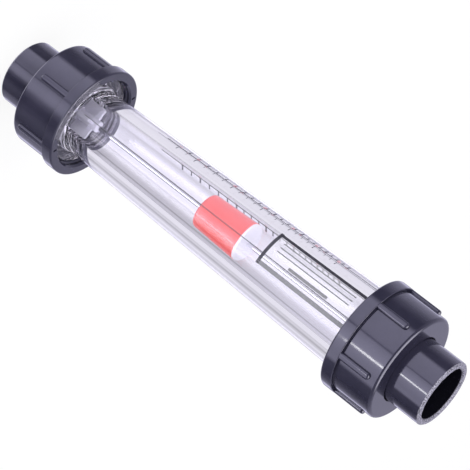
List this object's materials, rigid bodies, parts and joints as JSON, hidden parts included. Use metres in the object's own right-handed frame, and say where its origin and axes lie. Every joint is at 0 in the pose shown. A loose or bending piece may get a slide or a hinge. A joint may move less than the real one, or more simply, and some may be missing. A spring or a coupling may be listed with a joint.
{
  "type": "rotameter",
  "caption": "Pipe-mounted rotameter: clear tapered tube with a float on a guide rod between stops, and a ribbed union nut over a socket connector at each end.",
  "frame": {"origin": "centre of the inlet connector's end face, where the meter stands", "axes": "+Z along the tube in the direction of flow; the scale faces -Y"},
  "size_m": [0.0686, 0.0686, 0.3128],
  "materials": {
    "clear_plastic": "clear, polished",
    "dark_plastic": "dark grey, satin gloss",
    "red_plastic": "red, gloss",
    "white_plastic": "white, gloss",
    "steel": "bright drawn steel",
    "rubber": "black, matt"
  },
  "bodies": {
    "body": {"metering_tube": "clear_plastic", "guide_rod": "steel", "inlet_rod_holder": "white_plastic", "outlet_rod_holder": "white_plastic", "inlet_rod_washer": "steel", "outlet_rod_washer": "steel", "inlet_rod_nut": "steel", "outlet_rod_nut": "steel", "inlet_float_stop": "white_plastic", "outlet_float_stop": "white_plastic"},
    "float": {"float_shell": "red_plastic", "float_ballast": "steel", "float_cap": "white_plastic", "float_lower_bush": "white_plastic", "float_upper_bush": "white_plastic"},
    "inlet_connector": {"inlet_connector": "dark_plastic", "inlet_o_ring": "rubber"},
    "inlet_nut": {"inlet_union_nut": "dark_plastic"},
    "outlet_connector": {"outlet_connector": "dark_plastic", "outlet_o_ring": "rubber"},
    "outlet_nut": {"outlet_union_nut": "dark_plastic"}
  },
  "joints": [
    {"name": "float_slide", "type": "slide", "parent": "body", "child": "float", "axis": [0, 0, 1], "range_m": [-0.0817, 0.0767]},
    {"name": "inlet_draw_off", "type": "slide", "parent": "body", "child": "inlet_connector", "axis": [0, 0, -1], "range_m": [0, 0.0151]},
    {"name": "inlet_nut_turn", "type": "hinge", "parent": "inlet_connector", "child": "inlet_nut", "pos_m": [0, 0, 0.039], "axis": [0, 0, -1], "range_deg": [0, 1800]},
    {"name": "outlet_draw_off", "type": "slide", "parent": "body", "child": "outlet_connector", "axis": [0, 0, 1], "range_m": [0, 0.0151]},
    {"name": "outlet_nut_turn", "type": "hinge", "parent": "outlet_connector", "child": "outlet_nut", "pos_m": [0, 0, 0.2738], "axis": [0, 0, 1], "range_deg": [0, 1800]}
  ],
  "couplings": [
    {"joint": "inlet_draw_off", "follows": "inlet_nut_turn", "m_per_rad": 0.00047746},
    {"joint": "outlet_draw_off", "follows": "outlet_nut_turn", "m_per_rad": 0.00047746}
  ]
}
